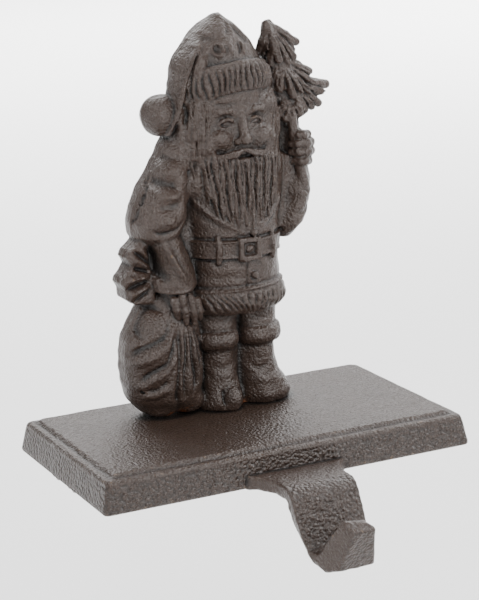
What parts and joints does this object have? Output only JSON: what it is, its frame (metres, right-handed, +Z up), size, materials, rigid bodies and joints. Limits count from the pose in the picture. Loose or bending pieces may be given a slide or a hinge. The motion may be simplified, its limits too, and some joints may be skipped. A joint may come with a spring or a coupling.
{
  "type": "mantel stocking holder",
  "caption": "Cast iron shelf-top stocking holder: a stepped base with a hook below its front edge and a standing relief figure of a bearded man in winter dress.",
  "frame": {"origin": "middle of the base's front lower edge, on the plane of the underside that rests on the shelf", "axes": "+X to the right of someone who faces the figure, +Y to the back, +Z up"},
  "size_m": [0.178, 0.162, 0.2199],
  "materials": {
    "lacquered_iron": "dark brown lacquer over rough sand casting, satin, with light wear and a little rust",
    "screw_steel": "plain zinc plate"
  },
  "bodies": {
    "root": {"base_plate": "lacquered_iron", "figure": "lacquered_iron", "fixing_screw": "screw_steel"}
  },
  "joints": []
}
